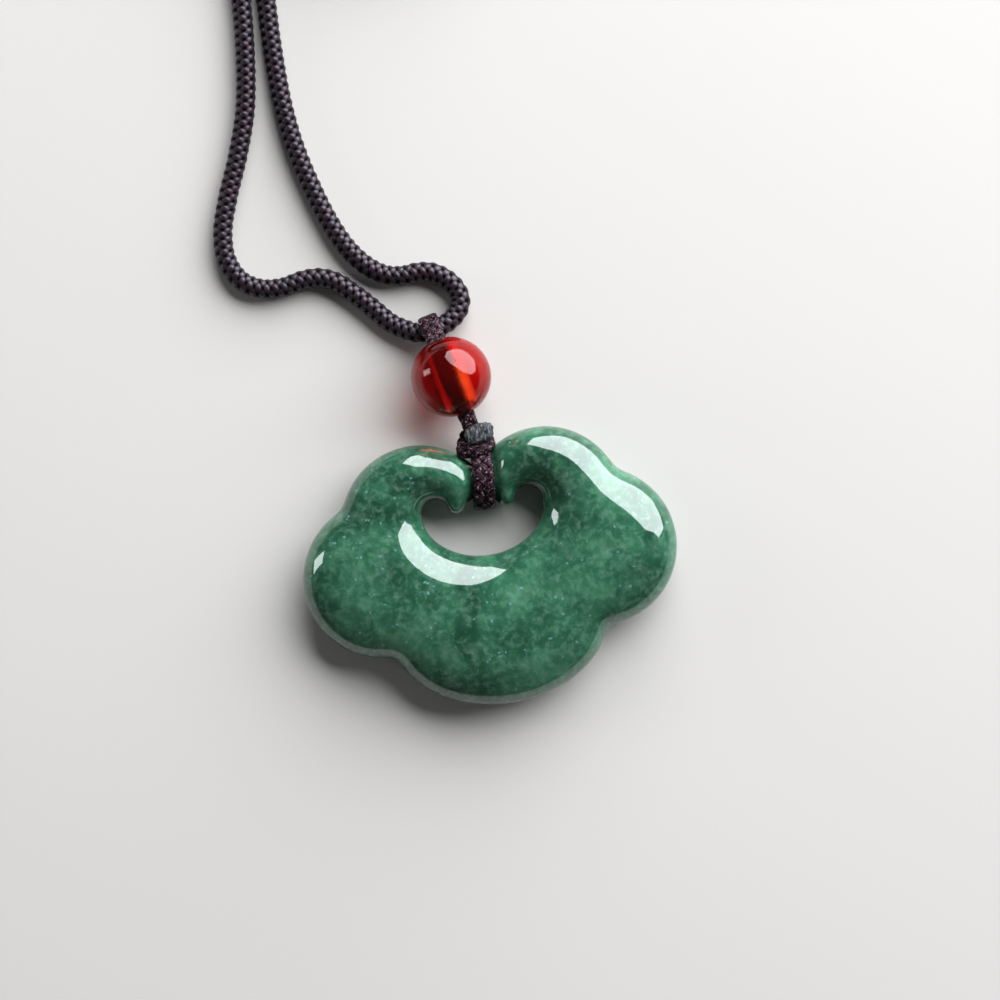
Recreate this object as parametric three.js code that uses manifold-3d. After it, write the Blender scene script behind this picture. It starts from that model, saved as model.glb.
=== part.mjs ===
// Jade pendant necklace, lying face up on a table. Millimetres: x runs across the pendant,
// y up its middle towards the bead and cord, z up from the table.
import * as THREE from "three";
import { mergeVertices } from "three/addons/utils/BufferGeometryUtils.js";
import Module from "manifold-3d";

const wasm = await Module();
wasm.setup();

// Driving dimensions. The plaque is laid out about the middle of its side lobes.
const topLobe = { x: 4.72, y: 4.2, rx: 5.87, ry: 5.87 };
const sideLobe = { x: 8.12, y: 0.55, rx: 5.93, ry: 5.93 };
const bottomLobe = { x: 0, y: -4.0, rx: 8.15, ry: 6.05 };
const notchSharpness = 6; // how tightly neighbouring lobes meet

const holeHalfWidth = 4.4;
const holeDrop = 3.3; // from the hole's widest line to its lowest point
const holeLine = 4.6; // height of the hole's widest line
const bayRadius = 0.95; // round bay beside each scroll head
const bayRise = 0.23; // bay centre above the widest line
const scrollHead = { x: 1.85, y: 5.15 }; // middle of each small hanging scroll head
const scrollTuck = -150; // degrees, where the head's underside turns up to the bridge
const bridgeUnderside = 5.5;

const rimHeight = 1.95; // the widest outline, above the table
const faceRise = 2.9; // domed face above the rim
const faceRounding = 4.4; // how far in from an edge the face keeps rising
const backRounding = 1.9; // same for the flat back
const wrapFoot = 0.31; // how far right of the middle the cord meets the bridge's underside
const wrapSlope = 0.1; // its lean to the right from there up
const wrapTop = 7.8; // where the lean ends, in the notch
const seatHalfWidth = 1.15;
const backSeat = 0.55; // share of the back's depth that the seat takes
const faceSeat = 0.5; // share of the face's rise

const faceRows = 11;
const backRows = 7;
const relaxRounds = 500;

const beadRadius = 2.98;
const beadBore = 0.85; // radius
const beadCentre = new THREE.Vector3(-0.81, 14.57, beadRadius);
const beadLean = 13.3; // degrees that the bore leans to the left
const beadSegments = 30;
const beadProfileSteps = 15;

const strandRadius = 0.38; // the thin hanging cord
const squeezedRadius = 0.16; // where it is squeezed between bead and necklace cord
const strandSpacing = 0.74; // between its two turns, which touch
const strandGap = 0.07;
const wrapRadius = 0.42; // the same strands where they lie flatter, round the bridge
const wrapSpacing = 0.86;
const strandSides = 8;
const knot = {
  centre: new THREE.Vector3(0.18, 9.75, 2.45),
  body: [1.5, 1.05, 1.0], // half sizes
  bodyLean: -14,
  turnRadius: 0.8,
  turnThickness: 0.46,
  turnTilt: 62,
  turnLean: -28,
};
const meltedEnd = { x: 0.64, y: 10.12, z: 3.3, size: [1.02, 0.78, 0.62], lean: 8 };

const cordRadius = 0.75; // the braided necklace cord
const cordSides = 8;
const cordSteps = 78;
const crossing = new THREE.Vector3(-1.69, 18.3, 1.3); // where the hanger holds the cord

const coilCentre = { x: 0, y: 60.6 };
const coilInner = 3.6;
const coilOuter = 12.85;
const coilFloor = 0.42; // the tie's band passes below the coil
const coilHeight = 3.15;
const coilEdge = 0.55; // how far the coil's corners are cut
const closing = {
  z: 1.7,
  body: [2.4, 1.7, 1.4],
  turnRadius: 1.55,
  turnThickness: 0.72,
  turnLean: 18,
};
const tieBand = { thickness: 0.3, width: 1.8, gap: 0.1 };

const degrees = Math.PI / 180;
const mergeWithin = 1e-4;

const finishes = {
  jade: { color: 0x4f8a66, roughness: 0.08, metalness: 0 },
  agate: { color: 0x9c1216, roughness: 0.04, metalness: 0 },
  hangerCord: { color: 0x2a1c26, roughness: 0.6, metalness: 0 },
  necklaceCord: { color: 0x241a22, roughness: 0.55, metalness: 0 },
  tie: { color: 0x1b1b1d, roughness: 0.5, metalness: 0 },
};

function namedMesh(name, geometry, finish) {
  const mesh = new THREE.Mesh(geometry, new THREE.MeshStandardMaterial(finish));
  mesh.name = name;
  return mesh;
}

// A closed geometry as a solid that can be joined and cut.
function toSolid(geometry) {
  const bare = geometry.clone();
  bare.deleteAttribute("normal");
  bare.deleteAttribute("uv");
  const merged = mergeVertices(bare, mergeWithin);
  return new wasm.Manifold(
    new wasm.Mesh({
      numProp: 3,
      vertProperties: merged.attributes.position.array,
      triVerts: new Uint32Array(merged.index.array),
    }),
  );
}

function joined(geometries) {
  const whole = geometries.map(toSolid).reduce((a, b) => a.add(b));
  const mesh = whole.getMesh();
  return new THREE.BufferGeometry()
    .setAttribute("position", new THREE.BufferAttribute(mesh.vertProperties, 3))
    .setIndex(new THREE.BufferAttribute(mesh.triVerts, 1));
}

// A solid cord along points, with flat ends.
function cordAlong(points, radius, sides, steps) {
  return strandPairAlong(points, radius, sides, steps, 0, new THREE.Vector3(1, 0, 0));
}

// Two touching strands as one section with round sides, spread by a distance along across.
function strandPairAlong(points, radius, sides, steps, spread, across) {
  const path = new THREE.CatmullRomCurve3(points, false, "centripetal");
  path.arcLengthDivisions = 20 * steps;
  const frames = path.computeFrenetFrames(steps, false);
  const alongX = Math.abs(frames.normals[0].dot(across)) > 0.7;
  const ring = Array.from({ length: sides }, (_, k) => {
    const turn = (2 * Math.PI * (k + 0.5)) / sides;
    const x = radius * Math.cos(turn);
    const y = radius * Math.sin(turn);
    const shiftX = alongX ? (spread / 2) * Math.sign(x) : 0;
    const shiftY = alongX ? 0 : (spread / 2) * Math.sign(y);
    return new THREE.Vector2(x + shiftX, y + shiftY);
  });
  return new THREE.ExtrudeGeometry(new THREE.Shape(ring), {
    steps,
    extrudePath: path,
    bevelEnabled: false,
  });
}

// Distance from the plaque's middle to where a ray leaves one lobe, or 0 where it misses.
function lobeReach(angle, lobe, side) {
  const dx = Math.cos(angle) / lobe.rx;
  const dy = Math.sin(angle) / lobe.ry;
  const cx = (side * lobe.x) / lobe.rx;
  const cy = lobe.y / lobe.ry;
  const a = dx * dx + dy * dy;
  const b = -2 * (dx * cx + dy * cy);
  const inside = b * b - 4 * a * (cx * cx + cy * cy - 1);
  return inside > 0 ? (-b + Math.sqrt(inside)) / (2 * a) : 0;
}

// The cloud-shaped rim: the furthest lobe in each direction, with softened notches.
function rimPoint(angle) {
  const reaches = [
    lobeReach(angle, topLobe, 1),
    lobeReach(angle, topLobe, -1),
    lobeReach(angle, sideLobe, 1),
    lobeReach(angle, sideLobe, -1),
    lobeReach(angle, bottomLobe, 1),
  ];
  const total = reaches.reduce((sum, r) => sum + Math.exp(notchSharpness * r), 0);
  const reach = Math.log(total) / notchSharpness;
  return new THREE.Vector2(reach * Math.cos(angle), reach * Math.sin(angle));
}

// Right half of the crescent hole, from its lowest point round to the bridge's underside.
function holeCurves() {
  const bay = { x: holeHalfWidth - bayRadius, y: holeLine + bayRise };
  const apart = Math.hypot(scrollHead.x - bay.x, scrollHead.y - bay.y);
  const headRadius = apart - bayRadius; // so that bay and scroll head run into each other
  const towardsHead = Math.atan2(scrollHead.y - bay.y, scrollHead.x - bay.x);
  const tuck = scrollTuck * degrees;
  const tuckEnd = new THREE.Vector2(
    scrollHead.x + headRadius * Math.cos(tuck),
    scrollHead.y + headRadius * Math.sin(tuck),
  );
  const climb = (bridgeUnderside - tuckEnd.y) / -Math.cos(tuck);
  const turnIn = new THREE.Vector2(tuckEnd.x + climb * Math.sin(tuck), bridgeUnderside);
  const quarter = Math.PI / 2;
  return [
    new THREE.EllipseCurve(0, holeLine, holeHalfWidth, holeDrop, -quarter, 0, false),
    new THREE.EllipseCurve(bay.x, bay.y, bayRadius, bayRadius, 0, towardsHead, false),
    new THREE.EllipseCurve(
      scrollHead.x,
      scrollHead.y,
      headRadius,
      headRadius,
      towardsHead - Math.PI,
      tuck,
      true,
    ),
    new THREE.QuadraticBezierCurve(tuckEnd, turnIn, new THREE.Vector2(0, bridgeUnderside)),
  ];
}

// Matching stations round the hole and round the rim. Each stretch of the hole faces a
// stretch of the rim that ends at the angle given.
function stations() {
  const faced = [
    { to: 8, count: 28 },
    { to: 58, count: 18 },
    { to: 79, count: 10 },
    { to: 90, count: 8 },
  ];
  const right = [];
  let from = -90;
  holeCurves().forEach((curve, k) => {
    for (let i = 0; i < faced[k].count; i++) {
      const share = i / faced[k].count;
      const angle = (from + (faced[k].to - from) * share) * degrees;
      right.push({ hole: curve.getPointAt(share), rim: rimPoint(angle) });
    }
    from = faced[k].to;
  });
  const top = { hole: new THREE.Vector2(0, bridgeUnderside), rim: rimPoint(90 * degrees) };
  const mirrored = (p) => new THREE.Vector2(-p.x, p.y);
  const left = right
    .slice(1)
    .reverse()
    .map((s) => ({ hole: mirrored(s.hole), rim: mirrored(s.rim) }));
  return [...right, top, ...left];
}

// Even net between hole and rim, relaxed until its lines no longer bunch or cross.
function relaxedNet(ends, rows) {
  const count = ends.length;
  const net = ends.map((s) =>
    Array.from({ length: rows + 1 }, (_, j) => s.hole.clone().lerp(s.rim, j / rows)),
  );
  for (let round = 0; round < relaxRounds; round++) {
    for (let i = 0; i < count; i++) {
      const before = net[(i + count - 1) % count];
      const after = net[(i + 1) % count];
      for (let j = 1; j < rows; j++) {
        const across = { x: (after[j].x - before[j].x) / 2, y: (after[j].y - before[j].y) / 2 };
        const along = {
          x: (net[i][j + 1].x - net[i][j - 1].x) / 2,
          y: (net[i][j + 1].y - net[i][j - 1].y) / 2,
        };
        const alpha = along.x ** 2 + along.y ** 2;
        const beta = across.x * along.x + across.y * along.y;
        const gamma = across.x ** 2 + across.y ** 2;
        for (const axis of ["x", "y"]) {
          const corner =
            after[j + 1][axis] - after[j - 1][axis] - before[j + 1][axis] + before[j - 1][axis];
          const pulled =
            alpha * (after[j][axis] + before[j][axis]) +
            gamma * (net[i][j + 1][axis] + net[i][j - 1][axis]) -
            (beta * corner) / 2;
          net[i][j][axis] = pulled / (2 * (alpha + gamma));
        }
      }
    }
  }
  return net;
}

// One net line resampled, with rows closing up towards both edges.
function edgeSpaced(line, rows) {
  const lengths = [0];
  line.slice(1).forEach((p, k) => lengths.push(lengths[k] + p.distanceTo(line[k])));
  const total = lengths[lengths.length - 1];
  return Array.from({ length: rows + 1 }, (_, j) => {
    const wanted = (total * (1 - Math.cos((Math.PI * j) / rows))) / 2;
    let k = 0;
    while (k < line.length - 2 && lengths[k + 1] < wanted) k++;
    const share = Math.min(1, (wanted - lengths[k]) / (lengths[k + 1] - lengths[k]));
    return line[k].clone().lerp(line[k + 1], share);
  });
}

// Smooth distance from every edge: it equals the real distance beside one straight edge.
function edgeDistance(point, loops) {
  let sum = 0;
  for (const loop of loops) {
    loop.forEach((start, k) => {
      const end = loop[(k + 1) % loop.length];
      const length = start.distanceTo(end);
      const ux = (end.x - start.x) / length;
      const uy = (end.y - start.y) / length;
      const s0 = (start.x - point.x) * ux + (start.y - point.y) * uy;
      const s1 = s0 + length;
      const off = (start.x - point.x) * uy - (start.y - point.y) * ux;
      const h2 = Math.max(off * off, 1e-6);
      sum += (s1 / Math.sqrt(h2 + s1 * s1) - s0 / Math.sqrt(h2 + s0 * s0)) / h2;
    });
  }
  return Math.sqrt(2 / sum);
}

// Quarter-round that is level from 1 onwards.
const pillow = (share) => Math.sqrt(1 - (1 - Math.min(share, 1)) ** 2);

const wrapLine = (y) => wrapFoot + wrapSlope * (Math.min(y, wrapTop) - bridgeUnderside);

// The cord's seat over the bridge: 1 in its middle, 0 away from it and below the hole.
function seat(point) {
  const above = THREE.MathUtils.smoothstep(point.y, 2, bridgeUnderside);
  return above * Math.exp(-(((point.x - wrapLine(point.y)) / seatHalfWidth) ** 4));
}

function jadePendant() {
  const ends = stations();
  const loops = [ends.map((s) => s.hole), ends.map((s) => s.rim)];
  const net = relaxedNet(ends, faceRows);
  const count = ends.length;
  const vertices = [];
  const triangles = [];
  const place = (p, z) => vertices.push(p.x, p.y, z) / 3 - 1;
  const shared = ends.map((s) => [place(s.hole, rimHeight), place(s.rim, rimHeight)]);

  const layer = (rows, height, facesUp) => {
    const rings = net.map((line, i) =>
      edgeSpaced(line, rows).map((p, j) => {
        if (j === 0) return shared[i][0];
        if (j === rows) return shared[i][1];
        return place(p, height(p, edgeDistance(p, loops)));
      }),
    );
    for (let i = 0; i < count; i++) {
      const here = rings[i];
      const next = rings[(i + 1) % count];
      for (let j = 0; j < rows; j++) {
        const quad = facesUp
          ? [here[j], here[j + 1], next[j + 1], next[j]]
          : [here[j], next[j], next[j + 1], here[j + 1]];
        triangles.push(quad[0], quad[1], quad[2], quad[0], quad[2], quad[3]);
      }
    }
  };
  layer(
    faceRows,
    (p, d) => rimHeight + faceRise * pillow(d / faceRounding) * (1 - faceSeat * seat(p)),
    true,
  );
  layer(
    backRows,
    (p, d) => rimHeight * (1 - pillow(d / backRounding) * (1 - backSeat * seat(p))),
    false,
  );
  return new THREE.BufferGeometry()
    .setAttribute("position", new THREE.BufferAttribute(new Float32Array(vertices), 3))
    .setIndex(triangles);
}

// Round bead with a drilled bore, its bore upright in the profile.
function agateBead() {
  const mouth = Math.asin(beadBore / beadRadius);
  const profile = Array.from({ length: beadProfileSteps + 1 }, (_, k) => {
    const turn = Math.PI - mouth - ((Math.PI - 2 * mouth) * k) / beadProfileSteps;
    return new THREE.Vector2(beadRadius * Math.sin(turn), beadRadius * Math.cos(turn));
  });
  profile.push(profile[0].clone());
  return new THREE.LatheGeometry(profile, beadSegments);
}

// A point given along the bore's line from the bead's centre, sideways from it, and by height.
function byBore(along, aside, z) {
  const lean = beadLean * degrees;
  return new THREE.Vector3(
    beadCentre.x - along * Math.sin(lean) + aside * Math.cos(lean),
    beadCentre.y + along * Math.cos(lean) + aside * Math.sin(lean),
    z,
  );
}

// The doubled strand: round the necklace cord, down the bead, through the knot and round
// the bridge.
function strandPieces() {
  const reach = Math.hypot(crossing.x - beadCentre.x, crossing.y - beadCentre.y);
  const clear = cordRadius + strandGap + squeezedRadius;
  const loop = [
    byBore(1.9, 0, beadCentre.z),
    byBore(2.75, 0, beadCentre.z),
    byBore(reach - 0.6, 0, crossing.z + 1.3),
    byBore(reach, 0, crossing.z + clear),
    byBore(reach + 0.71, 0, crossing.z + 0.7),
    byBore(reach + clear, 0, crossing.z),
    byBore(reach + 0.71, 0, crossing.z - 0.7),
    byBore(reach, 0, crossing.z - clear),
    byBore(reach - 0.71, 0, crossing.z - 0.74),
    byBore(reach - 1.05, 0, crossing.z - 0.1),
    byBore(reach - 0.83, 0, crossing.z + 0.55),
    byBore(reach - 0.77, 0, crossing.z + 0.98),
    byBore(reach - 1.4, 0, crossing.z + 1.35),
  ];
  const throughBead = [
    byBore(2.75, 0, beadCentre.z),
    byBore(0, 0, beadCentre.z),
    byBore(-2.9, 0, beadCentre.z),
    byBore(-3.8, 0, beadCentre.z - 0.1),
    knot.centre,
  ];
  const wrap = [
    [knot.centre.y - 0.2, 2.9],
    [8.9, 3.0],
    [8.3, 3.15],
    [7.5, 3.38],
    [6.8, 3.46],
    [6.05, 3.32],
    [5.38, 2.95],
    [4.92, 2.35],
    [4.9, 1.65],
    [5.32, 0.98],
    [6.05, 0.65],
    [6.8, 0.58],
    [7.5, 0.6],
    [8.3, 0.64],
    [9.0, 0.88],
    [9.44, 1.4],
    [9.54, 2.1],
  ].map(([y, z]) => new THREE.Vector3(wrapLine(y), y, z));
  const lean = beadLean * degrees;
  const beside = new THREE.Vector3(Math.cos(lean), Math.sin(lean), 0);
  const right = new THREE.Vector3(1, 0, 0);
  return [
    strandPairAlong(loop, squeezedRadius, strandSides, 30, strandSpacing, beside),
    strandPairAlong(throughBead, strandRadius, strandSides, 10, strandSpacing, beside),
    strandPairAlong(wrap, wrapRadius, strandSides, 26, wrapSpacing, right),
  ];
}

// Overhand knot above the bridge, with the two ends melted together into one stub.
function knotPieces() {
  const { centre } = knot;
  const body = new THREE.SphereGeometry(1, 14, 10);
  body.scale(...knot.body);
  body.rotateZ(knot.bodyLean * degrees);
  body.translate(centre.x, centre.y - 0.12, centre.z + 0.1);
  const turn = new THREE.TorusGeometry(knot.turnRadius, knot.turnThickness, strandSides, 14);
  turn.rotateY(knot.turnTilt * degrees);
  turn.rotateZ(knot.turnLean * degrees);
  turn.translate(centre.x - 0.35, centre.y - 0.05, centre.z);
  const stub = new THREE.SphereGeometry(1, 12, 8);
  stub.scale(...meltedEnd.size);
  stub.rotateZ(meltedEnd.lean * degrees);
  stub.translate(meltedEnd.x, meltedEnd.y, meltedEnd.z);
  return [body, turn, stub];
}

function hangerCord() {
  return joined([...strandPieces(), ...knotPieces()]);
}

// Route of the necklace cord where it isn't coiled: from the coil down the left, through the
// hanger, round the small loop on the right and back up to the coil.
const cordRoute = [
  [-12.0, 53.8, 1.2],
  [-12.0, 51.0, 0.98],
  [-12.0, 47.5, 0.78],
  [-12.2, 42.5, 0.75],
  [-12.9, 37.0, 0.75],
  [-14.0, 33.4, 0.75],
  [-15.2, 30.4, 0.75],
  [-16.0, 27.8, 0.75],
  [-16.0, 25.7, 0.75],
  [-15.2, 24.1, 0.75],
  [-13.8, 23.25, 0.75],
  [-12.2, 23.1, 0.75],
  [-10.7, 23.4, 0.75],
  [-9.4, 23.4, 0.75],
  [-8.3, 22.95, 0.75],
  [-7.22, 22.04, 0.75],
  [-5.93, 20.7, 0.75],
  [-4.66, 19.3, 0.78],
  [-3.75, 18.7, 0.92],
  [-2.8, 18.26, 1.15],
  [-1.69, 18.3, 1.3],
  [-0.55, 18.64, 1.15],
  [0.4, 19.38, 0.92],
  [0.74, 20.3, 0.78],
  [0.45, 21.25, 0.75],
  [-0.3, 22.1, 0.75],
  [-1.2, 22.6, 0.75],
  [-2.2, 22.72, 0.75],
  [-3.2, 22.65, 0.75],
  [-4.4, 22.85, 0.75],
  [-5.6, 23.6, 0.75],
  [-6.9, 25.1, 0.75],
  [-8.0, 27.3, 0.75],
  [-9.0, 30.3, 0.75],
  [-9.8, 33.6, 0.75],
  [-10.2, 37.0, 0.75],
  [-10.3, 41.5, 0.75],
  [-10.25, 46.3, 0.85],
  [-10.7, 49.4, 1.45],
  [-11.5, 52.0, 2.35],
  [-12.0, 53.8, 2.74],
].map(([x, y, z]) => new THREE.Vector3(x, y, z));

// Ring round the whole coil: a two-layer spiral of the doubled cord.
function coilRing() {
  const top = coilFloor + coilHeight;
  const profile = [
    [coilInner, coilFloor + coilEdge],
    [coilInner + coilEdge, coilFloor],
    [coilOuter - coilEdge, coilFloor],
    [coilOuter, coilFloor + coilEdge],
    [coilOuter, top - coilEdge],
    [coilOuter - coilEdge, top],
    [coilInner + coilEdge, top],
    [coilInner, top - coilEdge],
    [coilInner, coilFloor + coilEdge],
  ].map(([r, y]) => new THREE.Vector2(r, y));
  const ring = new THREE.LatheGeometry(profile, 40);
  ring.rotateX(90 * degrees);
  ring.translate(coilCentre.x, coilCentre.y, 0);
  return ring;
}

// Knot that closes the necklace, lying in the middle of the coil.
function closingKnot() {
  const body = new THREE.SphereGeometry(1, 12, 8);
  body.scale(...closing.body);
  const turn = new THREE.TorusGeometry(closing.turnRadius, closing.turnThickness, 8, 14);
  turn.rotateX(closing.turnLean * degrees);
  const whole = joined([body, turn]);
  whole.translate(coilCentre.x, coilCentre.y, closing.z);
  return whole;
}

// Flat band round the coil's section, at its far side.
function coilTie() {
  const { thickness, width, gap } = tieBand;
  const inner = {
    left: Math.sqrt(coilInner ** 2 - (width / 2) ** 2) - gap,
    right: coilOuter + gap,
    low: coilFloor - gap,
    high: coilFloor + coilHeight + gap,
  };
  const band = new THREE.Shape([
    new THREE.Vector2(inner.left - thickness, inner.low - thickness),
    new THREE.Vector2(inner.right + thickness, inner.low - thickness),
    new THREE.Vector2(inner.right + thickness, inner.high + thickness),
    new THREE.Vector2(inner.left - thickness, inner.high + thickness),
  ]);
  band.holes.push(
    new THREE.Path([
      new THREE.Vector2(inner.left, inner.low),
      new THREE.Vector2(inner.left, inner.high),
      new THREE.Vector2(inner.right, inner.high),
      new THREE.Vector2(inner.right, inner.low),
    ]),
  );
  const geometry = new THREE.ExtrudeGeometry(band, { depth: width, bevelEnabled: false });
  geometry.translate(0, 0, -width / 2);
  geometry.rotateX(90 * degrees);
  geometry.rotateZ(90 * degrees);
  geometry.translate(coilCentre.x, coilCentre.y, 0);
  return geometry;
}

const bead = namedMesh("agate_bead", agateBead(), finishes.agate);
bead.position.copy(beadCentre);
bead.rotation.z = beadLean * degrees;

const pendant = new THREE.Group();
pendant.add(namedMesh("jade_pendant", jadePendant(), finishes.jade));
pendant.add(bead);
pendant.add(namedMesh("hanger_cord", hangerCord(), finishes.hangerCord));

// The pendant's box, without the necklace cord, stands on the origin.
const box = new THREE.Box3().setFromObject(pendant, true);
const middle = box.getCenter(new THREE.Vector3());

const necklace = new THREE.Group();
const tube = cordAlong(cordRoute, cordRadius, cordSides, cordSteps);
necklace.add(namedMesh("necklace_cord", tube, finishes.necklaceCord));
necklace.add(namedMesh("necklace_coil", coilRing(), finishes.necklaceCord));
necklace.add(namedMesh("closing_knot", closingKnot(), finishes.necklaceCord));
necklace.add(namedMesh("coil_tie", coilTie(), finishes.tie));

const part = new THREE.Group();
part.add(pendant, necklace);
part.position.set(-middle.x, -middle.y, -box.min.z);

export default part;
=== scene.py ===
# Jade pendant necklace, lying face up: the looks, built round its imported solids.
import math

import bmesh
import bpy
import numpy as np
from mathutils import Matrix, Vector, noise


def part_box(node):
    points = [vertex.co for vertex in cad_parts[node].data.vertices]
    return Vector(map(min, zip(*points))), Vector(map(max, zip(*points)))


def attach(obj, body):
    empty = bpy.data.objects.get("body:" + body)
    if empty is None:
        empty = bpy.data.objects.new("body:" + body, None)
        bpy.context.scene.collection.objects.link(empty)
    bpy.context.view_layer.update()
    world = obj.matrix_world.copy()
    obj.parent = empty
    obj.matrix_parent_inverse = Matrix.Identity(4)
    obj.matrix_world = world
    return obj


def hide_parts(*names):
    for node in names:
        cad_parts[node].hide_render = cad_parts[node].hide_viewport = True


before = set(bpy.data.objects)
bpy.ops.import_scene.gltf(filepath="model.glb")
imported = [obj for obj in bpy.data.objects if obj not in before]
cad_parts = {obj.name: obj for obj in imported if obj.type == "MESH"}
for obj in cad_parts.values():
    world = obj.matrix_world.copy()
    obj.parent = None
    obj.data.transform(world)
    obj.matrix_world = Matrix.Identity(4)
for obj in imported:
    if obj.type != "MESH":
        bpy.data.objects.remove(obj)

for leftover in ("Cube", "Light", "Camera"):  # Blender's own start-up objects
    if leftover in bpy.data.objects:
        bpy.data.objects.remove(bpy.data.objects[leftover])
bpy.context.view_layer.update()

mm = 0.001
plaqueFoot = -10.05  # the plaque's lowest outline in its own layout, where side lobes are at y 0.55
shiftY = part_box("jade_pendant")[0][1] - plaqueFoot * mm  # from that layout to the row frame


def place(x, y, z):
    # from the plaque's layout, in millimetres, to the row frame, in metres
    return np.array((x * mm, y * mm + shiftY, z * mm))


# the photo's view: from straight above, with the pendant turned a little

shot = {"lens": 148, "sensor": 36, "distance": 0.304, "aim": (1.41, 5.051, 2.5), "lean": -8.6}


def setCamera():
    data = bpy.data.cameras.new("shotCamera")
    data.lens = shot["lens"]
    data.sensor_width = shot["sensor"]
    data.clip_start, data.clip_end = 0.01, 10
    camera = bpy.data.objects.new("shotCamera", data)
    x, y, z = place(*shot["aim"])
    camera.location = (x, y, z + shot["distance"])
    camera.rotation_euler = (0, 0, math.radians(shot["lean"]))
    bpy.context.collection.objects.link(camera)
    bpy.context.scene.camera = camera


setCamera()


def newMaterial(name):
    material = bpy.data.materials.new(name)
    material.use_nodes = True
    return material, material.node_tree, material.node_tree.nodes["Principled BSDF"]


def put(tree, kind, sockets=(), **settings):
    # one node; sockets maps input names to a value or to another node's output
    made = tree.nodes.new("ShaderNode" + kind)
    for name, value in settings.items():
        setattr(made, name, value)
    for name, value in dict(sockets).items():
        if isinstance(value, bpy.types.NodeSocket):
            tree.links.new(value, made.inputs[name])
        else:
            made.inputs[name].default_value = value
    return made


def ramp(tree, factor, stops, easing="LINEAR"):
    made = put(tree, "ValToRGB", {"Fac": factor})
    made.color_ramp.interpolation = easing
    while len(made.color_ramp.elements) < len(stops):
        made.color_ramp.elements.new(0.5)
    for element, (at, colour) in zip(made.color_ramp.elements, stops):
        element.position = at
        element.color = (*colour, 1)
    return made.outputs["Color"]


def blendColour(tree, factor, first, second):
    made = put(tree, "Mix", data_type="RGBA")
    for socket, value in ((made.inputs["Factor"], factor), (made.inputs[6], first), (made.inputs[7], second)):
        if isinstance(value, bpy.types.NodeSocket):
            tree.links.new(value, socket)
        else:
            socket.default_value = value if isinstance(value, (int, float)) else (*value, 1)
    return made.outputs[2]


def remap(tree, value, low, high, toLow=0.0, toHigh=1.0):
    made = put(
        tree,
        "MapRange",
        {"Value": value, "From Min": low, "From Max": high, "To Min": toLow, "To Max": toHigh},
    )
    return made.outputs["Result"]


def noiseOn(tree, vector, scale, detail, roughness=0.5):
    return put(tree, "TexNoise", {"Vector": vector, "Scale": scale, "Detail": detail, "Roughness": roughness})


def calc(tree, operation, a, b=0.0):
    made = put(tree, "Math", operation=operation)
    for socket, value in zip(made.inputs, (a, b)):
        if isinstance(value, bpy.types.NodeSocket):
            tree.links.new(value, socket)
        else:
            socket.default_value = value
    return made.outputs[0]


def addObject(name, bm, *materials):
    mesh = bpy.data.meshes.new(name)
    bm.to_mesh(mesh)
    bm.free()
    thing = bpy.data.objects.new(name, mesh)
    bpy.context.collection.objects.link(thing)
    for material in materials:
        mesh.materials.append(material)
    mesh.polygons.foreach_set("use_smooth", [True] * len(mesh.polygons))
    return thing


def smoothLine(points, spacing):
    # evenly spaced points of a centripetal Catmull-Rom curve through the given ones
    knotsAt = np.vstack([2 * points[0] - points[1], points, 2 * points[-1] - points[-2]])
    steps = np.sqrt(np.linalg.norm(np.diff(knotsAt, axis=0), axis=1))
    times = np.concatenate([[0], np.cumsum(steps)])
    dense = []
    for k in range(1, len(knotsAt) - 2):
        t = np.linspace(times[k], times[k + 1], 24, endpoint=False)[:, None]
        at = times[k - 1 : k + 3]
        near = list(knotsAt[k - 1 : k + 3])
        for level in (1, 2):
            near = [
                ((at[j + level] - t) * near[j] + (t - at[j]) * near[j + 1]) / (at[j + level] - at[j])
                for j in range(4 - level)
            ]
        dense.append(((at[2] - t) * near[0] + (t - at[1]) * near[1]) / (at[2] - at[1]))
    dense = np.vstack([*dense, knotsAt[-2][None]])
    run = np.concatenate([[0], np.cumsum(np.linalg.norm(np.diff(dense, axis=0), axis=1))])
    count = max(2, int(round(run[-1] / spacing)))
    wanted = np.linspace(0, run[-1], count + 1)
    return np.stack([np.interp(wanted, run, dense[:, a]) for a in range(3)], axis=1), run[-1]


# A braid is a tube whose skin is made of carriers, half of them each way, going one over one.

laneShare = 0.96  # a carrier's width, as a share of its lane


def braidSkin(style, turn, along):
    # height of the braid's skin, whether the first set is on top there, and both lanes
    a = style["carriers"] * (turn - along)
    b = style["carriers"] * (turn + along)
    overs = np.cos(np.pi * (b + np.round(a))), -np.cos(np.pi * (a + np.round(b)))
    heights = []
    for lane, over in zip((a, b), overs):
        across = 2 * (lane - np.round(lane)) / laneShare
        top = np.sqrt(np.clip(1 - np.abs(across) ** 3, 0, 1))
        threads = style["thread"] * top * np.cos(style["threads"] * np.pi * across)
        heights.append(style["rise"] * over + style["pillow"] * top + threads)
    return np.maximum(*heights), heights[0] > heights[1], a, b


def section(style, turn):
    # the core's outline, round or as wide as two strands, and the way out of it
    core = style["radius"] - style["rise"] - style["pillow"] - style["thread"]
    spread = style["spread"]
    way = (turn % 1) * (2 * math.pi * core + 2 * spread)
    arc = math.pi * core
    # the right half round, the top straight, the left half round, the bottom straight
    stretches = [way < arc, way < arc + spread, way < 2 * arc + spread]
    quarter = np.full_like(way, math.pi / 2)
    half = np.full_like(way, spread / 2)
    angle = np.select(
        stretches, [way / core - quarter, quarter, (way - arc - spread) / core + quarter], 3 * math.pi / 2
    )
    shift = np.select(stretches, [half, half - (way - arc), -half], way - 2 * arc - 1.5 * spread)
    out = np.stack([np.cos(angle), np.sin(angle)])
    return np.stack([shift + core * out[0], core * out[1]]), out


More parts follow.
